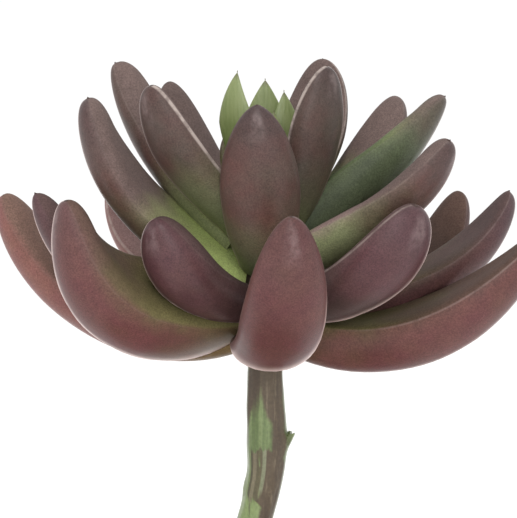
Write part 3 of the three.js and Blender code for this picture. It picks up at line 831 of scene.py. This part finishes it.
def makeStemMaterial():
    material, tree, shader, place, grain = grainedMaterial("stemBark", 1100.0, 0.5)
    drop, turn = attribute(tree, "drop"), attribute(tree, "turn")
    upright = stretched(tree, place, 0.07)
    streaks = noiseNode(tree, upright, 620.0, 4.0, 0.6)
    wide = noiseNode(tree, upright, 300.0, 3.0, 0.5)
    blotches = noiseNode(tree, place, 180.0, 3.0, 0.55)
    # ragged edges: streaks pull the patches' ends up and down, blotches wear their sides
    upper = plus(tree, drop, scaled(tree, streaks, 16.0, -8.0))
    lower = plus(tree, drop, scaled(tree, streaks, 9.0, -4.5))
    worn = scaled(tree, blotches, 30.0, -15.0)
    threads = rangeNode(tree, streaks, 0.5, 0.6)
    skin = 0.0
    for top, bottom, widening, middle, reach, whole in stemLooks["patches"]:
        inTop = rangeNode(tree, upper, top - 2.0, top + widening * 0.6)
        inBottom = rangeNode(tree, lower, bottom + 0.5, bottom - 0.5)
        away = plus(tree, mathNode(tree, "ABSOLUTE", minus(tree, turn, middle)), worn)
        opened = rangeNode(tree, drop, top, top + widening, reach * -0.75, 0.0)
        inSide = rangeNode(tree, minus(tree, away, opened), reach + 7, reach - 7)
        patch = times(tree, inTop, inBottom, inSide, scaled(tree, threads, 1.0 - whole, whole))
        skin = mathNode(tree, "MAXIMUM", skin, patch)
    bark = blend(tree, stemLooks["barkDark"], stemLooks["bark"], wide, 0.36, 0.6)
    for top, bottom, middle, reach, tone in stemLooks["strips"]:
        inTop = rangeNode(tree, drop, top - 1, top)
        inBottom = rangeNode(tree, lower, bottom + 2, bottom - 2)
        away = mathNode(tree, "ABSOLUTE", plus(tree, turn, scaled(tree, wide, 14.0, -7.0 - middle)))
        strip = times(tree, inTop, inBottom, rangeNode(tree, away, reach + 2, reach - 2, 0.0, 0.8))
        bark = mixColours(tree, strip, bark, stemLooks[tone])
    bark = blend(tree, bark, stemLooks["barkPale"], streaks, 0.54, 0.7, 0.8)
    green = blend(tree, stemLooks["green"], stemLooks["greenPale"], streaks, 0.4, 0.66)
    green = blend(tree, green, stemLooks["greenLow"], drop, 24.0, 36.0, 0.45)
    colour = mixColours(tree, skin, bark, green)
    cracks = times(tree, rangeNode(tree, streaks, 0.38, 0.32, 0.0, 0.5), rangeNode(tree, drop, 12.0, 24.0))
    colour = mixColours(tree, cracks, colour, stemLooks["streak"])
    colour = blend(tree, colour, stemLooks["woody"], drop, 60.0, 86.0, 0.7)
    colour = brightened(tree, colour, scaled(tree, grain["Speckle"], 0.7, 0.65))
    # painted sheen: the stem pales towards its outline, as the bright surroundings reflect at a slant
    colour = blend(tree, colour, stemLooks["rim"], slant(tree), 0.45, 0.86, 0.75)
    height = scaled(tree, skin, -0.5, scaled(tree, streaks, 1.6, grain["Height"]))
    dressShader(tree, shader, colour, rangeNode(tree, skin, 0.0, 1.0, 0.62, 0.5), height, 0.35, 0.0006)
    return material


def buildStem():
    points, faces, values = stemPoints()
    made = newObject("stemBare", newMesh("stem", points, faces))
    torn = newObject("stub", stubMesh())
    combine(made, [torn], "UNION")
    carryAttributes(made.data, points, values)
    finishPiece(made, makeStemMaterial(), ["stem"])
    removeObjects([torn])
    points, faces, _ = stemPoints(stemForm["clearance"], detail=False)
    return newObject("cutter", newMesh("cutter", points, faces))


# ---- the pot ----
potForm = {
    "height": 105, "footRadius": 40, "rimRadius": 60, "bandHeight": 22, "bandStep": 5.5, "wall": 6,
    "floor": 8, "edge": 2, "cove": 4, "drainHoles": 3, "drainRadius": 4, "drainCircle": 19, "sides": 160,
    "lumps": 0.22, "ribs": 0.07,
}
potLooks = {
    "clay": paint(146, 83, 58), "clayPale": paint(168, 103, 76), "wiped": paint(190, 130, 102),
    "lime": paint(206, 188, 172), "pit": paint(132, 70, 48),
}
bandFoot = potForm["height"] - potForm["bandHeight"]


def bodyRadius(z):
    return mixValues(potForm["footRadius"], potForm["rimRadius"] - potForm["bandStep"], z / bandFoot)


def innerRadius(z):
    return np.minimum(bodyRadius(z), bodyRadius(bandFoot) + potForm["edge"]) - potForm["wall"]


def roundedProfile(corners, steps=5):  # corners are (radius, z, rounding)
    points = []
    for index, (r, z, size) in enumerate(corners):
        here = np.array([r, z], float)
        if size == 0:
            points.append(here)
            continue
        before = np.array(corners[index - 1][:2], float) - here
        after = np.array(corners[index + 1][:2], float) - here
        start = here + before / np.linalg.norm(before) * size
        end = here + after / np.linalg.norm(after) * size
        for t in np.linspace(0, 1, steps):
            points.append(start * (1 - t) ** 2 + here * 2 * t * (1 - t) + end * t * t)
    return points


def denser(points, longest):  # splits long stretches so that unevenness shows
    made = [points[0]]
    for a, b in zip(points, points[1:]):
        count = max(1, int(np.ceil(np.linalg.norm(b - a) / longest)))
        made += [a + (b - a) * k / count for k in range(1, count + 1)]
    return made


def turnedPoints(profile, sides, warp=None):  # the profile starts and ends on the axis
    inner = np.array(profile[1:-1])
    rings = [[(r * math.cos(a), r * math.sin(a), z) for a in ringAngles(sides)] for r, z in inner]
    points = np.array(rings).reshape(-1, 3)
    if warp is not None:
        points = warp(points)
    ends = np.array([(0, 0, profile[0][1]), (0, 0, profile[-1][1])])
    return np.concatenate([points, ends]) * mm, tubeFaces(len(inner), sides)


def warpPot(points):  # the slight unevenness of a pressed pot, none on its foot
    moved = points.copy()
    for index, (x, y, z) in enumerate(points):
        lump = noise.noise(Vector((x * 0.02, y * 0.02, z * 0.03))) * potForm["lumps"]
        rib = noise.noise(Vector((0.3, 0.7, z * 0.55))) * potForm["ribs"]
        share = (lump + rib) / max(math.hypot(x, y), 1) * min(max((z - 3) / 6, 0), 1)
        moved[index, :2] *= 1 + share
    return moved


def makePotMaterial():
    material, tree, shader, place, grain = grainedMaterial("terracotta", 900.0, 0.5)
    height = addNode(tree, "ShaderNodeSeparateXYZ", {"Vector": place}).outputs["Z"]
    clouds = noiseNode(tree, place, 22.0, 5.0, 0.6)
    wipes = noiseNode(tree, stretched(tree, place, 6.0), 40.0, 4.0, 0.6)
    salts = noiseNode(tree, place, 75.0, 6.0, 0.7)
    clay = blend(tree, potLooks["clay"], potLooks["clayPale"], clouds, 0.3, 0.7)
    clay = blend(tree, clay, potLooks["wiped"], wipes, 0.45, 0.7, 0.35)
    # lime bloom gathers under the band and round the foot
    band = times(tree, rangeNode(tree, height, 0.052, 0.082), rangeNode(tree, height, 0.098, 0.086))
    damp = mathNode(tree, "MAXIMUM", rangeNode(tree, height, 0.045, 0.004), band)
    lime = times(tree, rangeNode(tree, salts, 0.5, 0.68), scaled(tree, damp, 0.6, 0.1))
    clay = mixColours(tree, lime, clay, potLooks["lime"])
    clay = blend(tree, clay, potLooks["pit"], grain["Speckle"], 0.32, 0.22, 0.5)
    raised = scaled(tree, wipes, 0.8, grain["Height"])
    dressShader(tree, shader, clay, scaled(tree, clouds, 0.12, 0.78), raised, 0.3, 0.0008)
    return material


def buildPot():
    p = potForm
    corners = [
        (0, 0, 0), (p["footRadius"], 0, p["edge"]), (bodyRadius(bandFoot), bandFoot, 0.8),
        (p["rimRadius"], bandFoot, p["edge"]), (p["rimRadius"], p["height"], p["edge"] * 1.2),
        (innerRadius(p["height"]), p["height"], p["edge"] * 1.2), (innerRadius(bandFoot), bandFoot, 3),
        (innerRadius(p["floor"]), p["floor"], p["cove"]), (0, p["floor"], 0),
    ]
    profile = denser(roundedProfile(corners), 4.0)
    points, faces = turnedPoints(profile, p["sides"], warpPot)
    made = newObject("terracottaPot", newMesh("pot", points, faces))
    drills = []
    bore = [(0, -4), (p["drainRadius"], -4), (p["drainRadius"], p["floor"] + 6), (0, p["floor"] + 6)]
    for k in range(p["drainHoles"]):
        turn = k / p["drainHoles"] * 2 * math.pi
        middle = np.array([math.cos(turn), math.sin(turn), 0]) * p["drainCircle"]
        drillPoints, drillFaces = turnedPoints(bore, 32)
        drills.append(newObject("drill", newMesh("drill", drillPoints + middle * mm, drillFaces)))
    combine(made, drills, "DIFFERENCE")
    finishPiece(made, makePotMaterial(), ["pot"], 40)
    removeObjects(drills)


# ---- the potting mix ----
mixForm = {
    "surface": 92, "mound": 3, "crumb": 1.1, "skirt": 2.2, "gap": 0.4, "lift": 0.3, "rings": 56,
    "sides": 150, "fine": 0.75, "hole": 5.6, "holeFloor": 57.7,
}
mixLooks = {
    "earth": paint(62, 46, 36), "earthPale": paint(98, 76, 58),
    "roughness": 0.92, "specular": 0.3, "bump": 0.6,
    # kinds of grit, from a share of the stones on: two barks, dark and pale grit, pumice, broken clay
    "kinds": [
        (0.0, (74, 54, 40)), (0.3, (104, 80, 58)), (0.5, (58, 50, 46)), (0.64, (132, 112, 90)),
        (0.78, (190, 182, 168)), (0.9, (150, 96, 70)),
    ],
}


def mixWall(z):
    return innerRadius(z) - mixForm["gap"]


def crumbHeight(x, y):
    coarse = math.sin(x * 0.31 + 1.3) * math.cos(y * 0.27 - 0.4)
    middle = math.sin(x * 0.83 - y * 0.61)
    fine = math.cos(x * 1.37 + y * 1.19 + 0.8)
    return mixForm["crumb"] * (0.5 * coarse + 0.3 * middle + 0.2 * fine)


def mixSurface(x, y):  # height of the mix at a place
    wall = mixWall(mixForm["surface"])
    share = min(max((wall - math.hypot(x, y)) / (wall - mixForm["hole"]), 0), 1)
    heaped = mixForm["surface"] + mixForm["mound"] * share ** 2
    rough = noise.noise(Vector((x * 0.45, y * 0.45, 3.1)))
    finer = noise.noise(Vector((x * 1.1, y * 1.1, 8.2)))
    return heaped + crumbHeight(x, y) * 0.8 + mixForm["fine"] * (rough + 0.5 * finer)


def warpMix(points):
    moved = points.copy()
    for index, (x, y, z) in enumerate(points):
        if z > mixForm["surface"] - mixForm["skirt"] / 2:
            moved[index, 2] = mixSurface(x, y)
    return moved


def stoneColours(tree):  # each stone's own kind picks its colour
    kinds = addNode(tree, "ShaderNodeValToRGB", {"Fac": attribute(tree, "kind")})
    ramp = kinds.color_ramp
    ramp.interpolation = "CONSTANT"
    while len(ramp.elements) < len(mixLooks["kinds"]):
        ramp.elements.new(0.5)
    for element, (position, tone) in zip(ramp.elements, mixLooks["kinds"]):
        element.position = position
        element.color = paint(*tone)
    return kinds.outputs[0]


def makeMixMaterial(name, isGrit):
    material, tree, shader, place, grain = grainedMaterial(name, 1400.0, 0.5)
    clods = noiseNode(tree, place, 320.0, 5.0, 0.65)
    if isGrit:
        colour = brightened(tree, stoneColours(tree), scaled(tree, clods, 0.8, 0.6))
    else:
        colour = blend(tree, mixLooks["earth"], mixLooks["earthPale"], clods, 0.35, 0.65)
    bump = (scaled(tree, clods, 2.0, grain["Height"]), mixLooks["bump"], 0.0008)
    dressShader(tree, shader, colour, mixLooks["roughness"], *bump, mixLooks["specular"])
    return material


def buildMix():
    m, floor, cove = mixForm, potForm["floor"], potForm["cove"]
    low, skirt = floor + m["lift"], m["surface"] - m["skirt"]
    profile = [
        (0, low), (mixWall(floor) - cove, low), (mixWall(floor + cove), floor + cove + m["lift"]),
        (mixWall(bandFoot), bandFoot), (mixWall(skirt), skirt),
    ]
    for k in range(m["rings"] + 1):
        profile.append((mixValues(mixWall(skirt), m["hole"], k / m["rings"]), m["surface"]))
    profile += [(m["hole"], m["holeFloor"]), (0, m["holeFloor"])]
    points, faces = turnedPoints(profile, m["sides"], warpMix)
    made = newObject("mixBed", newMesh("mix", points, faces))
    finishPiece(made, makeMixMaterial("mixEarth", False), ["potting_mix"], 60)


gritForm = {
    "stones": 1500, "seed": 7, "goldenTurn": 2.39996, "wander": 0.6, "size": (0.55, 1.5),
    "stretch": ((0.7, 1.6), (0.7, 1.1), (0.45, 0.85)), "lumps": 0.35, "lean": 0.35, "sunk": 0.55,
    "barkUpTo": 0.5, "barkStretch": (1.5, 1.0, 0.55), "pumice": (0.78, 0.9), "pumiceSize": 1.35,
}


def stoneForm():  # a small ball of twelve corners, split once
    golden = (1 + 5 ** 0.5) / 2
    corners = [
        (-1, golden, 0), (1, golden, 0), (-1, -golden, 0), (1, -golden, 0),
        (0, -1, golden), (0, 1, golden), (0, -1, -golden), (0, 1, -golden),
        (golden, 0, -1), (golden, 0, 1), (-golden, 0, -1), (-golden, 0, 1),
    ]
    points = [Vector(c).normalized() for c in corners]

    def isFace(corners):  # three neighbours
        return all((points[a] - points[b]).length < 1.1 for a, b in combinations(corners, 2))

    def outward(a, b, c):
        facing = (points[b] - points[a]).cross(points[c] - points[a]).dot(points[a])
        return (a, b, c) if facing > 0 else (c, b, a)

    middles, split = {}, []

    def middle(a, b):
        key = (min(a, b), max(a, b))
        if key not in middles:
            middles[key] = len(points)
            points.append((points[a] + points[b]).normalized())
        return middles[key]

    for a, b, c in [outward(*three) for three in combinations(range(12), 3) if isFace(three)]:
        ab, bc, ca = middle(a, b), middle(b, c), middle(c, a)
        split += [(a, ab, ca), (b, bc, ab), (c, ca, bc), (ab, bc, ca)]
    return np.array([p[:] for p in points]), np.array(split)


def buildGrit():  # bark, grit and pumice that lie on the mix
    g = gritForm
    random.seed(g["seed"])
    ball, triangles = stoneForm()
    nearest, farthest = mixForm["hole"] + 0.8, mixWall(mixForm["surface"]) - 1.6
    allPoints, allFaces, kinds = [], [], []
    for k in range(g["stones"]):
        reach = math.sqrt((k + 0.5) / g["stones"])
        radius = mixValues(nearest, farthest, reach) + random.uniform(-g["wander"], g["wander"])
        turn = k * g["goldenTurn"] + random.uniform(-0.3, 0.3)
        kind = random.random()
        isPumice = g["pumice"][0] < kind < g["pumice"][1]
        size = random.uniform(*g["size"]) * (g["pumiceSize"] if isPumice else 1.0)
        stretch = np.array([random.uniform(*span) for span in g["stretch"]])
        if kind < g["barkUpTo"]:  # bark lies flat
            stretch *= np.array(g["barkStretch"])
        drift = Vector((random.uniform(-50, 50), random.uniform(-50, 50), 0))
        lumps = np.array([1 + g["lumps"] * noise.noise(Vector(p) * 1.3 + drift) for p in ball])
        x, y, z = (ball * lumps[:, None] * stretch * size).T
        lean, spin = random.uniform(-g["lean"], g["lean"]), random.uniform(0, 2 * math.pi)
        y, z = spun(y, z, lean)
        x, y = spun(x, y, spin)
        placeX, placeY = radius * math.cos(turn), radius * math.sin(turn)
        rest = mixSurface(placeX, placeY) - z.min() * g["sunk"]
        allFaces.append(triangles + len(ball) * k)
        allPoints.append(np.stack([x + placeX, y + placeY, z + rest], 1))
        kinds.append(np.full(len(ball), kind))
    mesh = newMesh("grit", np.concatenate(allPoints) * mm, np.concatenate(allFaces).tolist())
    made = newObject("mixGrit", mesh)
    writeAttributes(mesh, {"kind": np.concatenate(kinds)})
    finishPiece(made, makeMixMaterial("mixStones", True), [], 50)


# ---- building ----
buildPot()
print("pot built")
buildMix()
buildGrit()
print("mix built")
stemCutter = buildStem()
print("stem built")
standing = buildLeaves(stemCutter)
print("leaves built")
buildGrowingTip(standing)
removeObjects(standing)
print("growing tip built")

# ---- stage, light and camera ----
stageLooks = {
    "floorRadius": 80.0, "floor": (0.97, 0.97, 0.97, 1), "world": (1, 1, 1, 1), "worldStrength": 1.06,
}
cameraPlace = {
    "target": (8.6, 0, 211.6), "distance": 900, "down": 5, "scale": 0.28, "frameSide": 518, "sensor": 36,
}
softboxes = [  # degrees around and above the camera's target, metres and watts
    {"azimuth": -14, "elevation": 54, "distance": 1.5, "size": 0.45, "power": 6.5},
    {"azimuth": 4, "elevation": 14, "distance": 1.6, "size": 1.0, "power": 10},
    {"azimuth": 150, "elevation": 50, "distance": 1.7, "size": 1.0, "power": 6},
]


def placeAround(target, azimuth, elevation, distance):
    a, e = math.radians(azimuth), math.radians(elevation)
    return target + Vector((math.sin(a) * math.cos(e), -math.cos(a) * math.cos(e), math.sin(e))) * distance


def buildStage():
    bpy.ops.mesh.primitive_circle_add(vertices=128, radius=stageLooks["floorRadius"], fill_type="NGON")
    floor = bpy.context.object
    floor.name = "floor"
    material, _, shader = newMaterial("floorPaper")
    shader.inputs["Base Color"].default_value = stageLooks["floor"]
    shader.inputs["Roughness"].default_value = 0.9
    shader.inputs["Specular IOR Level"].default_value = 0.0
    floor.data.materials.append(material)
    world = bpy.data.worlds.new("studio")
    world.use_nodes = True
    background = world.node_tree.nodes["Background"]
    background.inputs["Color"].default_value = stageLooks["world"]
    background.inputs["Strength"].default_value = stageLooks["worldStrength"]
    bpy.context.scene.world = world


def buildLights(target):
    for index, box in enumerate(softboxes):
        light = bpy.data.lights.new(f"softbox{index + 1}", "AREA")
        light.size = box["size"]
        light.energy = box["power"]
        lamp = newObject(f"softbox{index + 1}", light)
        lamp.location = placeAround(target, box["azimuth"], box["elevation"], box["distance"])
        lamp.rotation_euler = (target - lamp.location).to_track_quat("-Z", "Y").to_euler()


def buildCamera():
    target = Vector(cameraPlace["target"]) * mm
    lens = bpy.data.cameras.new("camera")
    lens.sensor_width = cameraPlace["sensor"]
    seen = cameraPlace["scale"] * cameraPlace["frameSide"]  # millimetres across the frame's long side
    lens.lens = cameraPlace["sensor"] * cameraPlace["distance"] / seen
    lens.clip_end = 500
    camera = newObject("camera", lens)
    camera.location = placeAround(target, 0, cameraPlace["down"], cameraPlace["distance"] * mm)
    camera.rotation_euler = (target - camera.location).to_track_quat("-Z", "Y").to_euler()
    bpy.context.scene.camera = camera
    return target


buildStage()
buildLights(buildCamera())
bpy.context.scene.view_settings.view_transform = "Standard"
print("stage built")
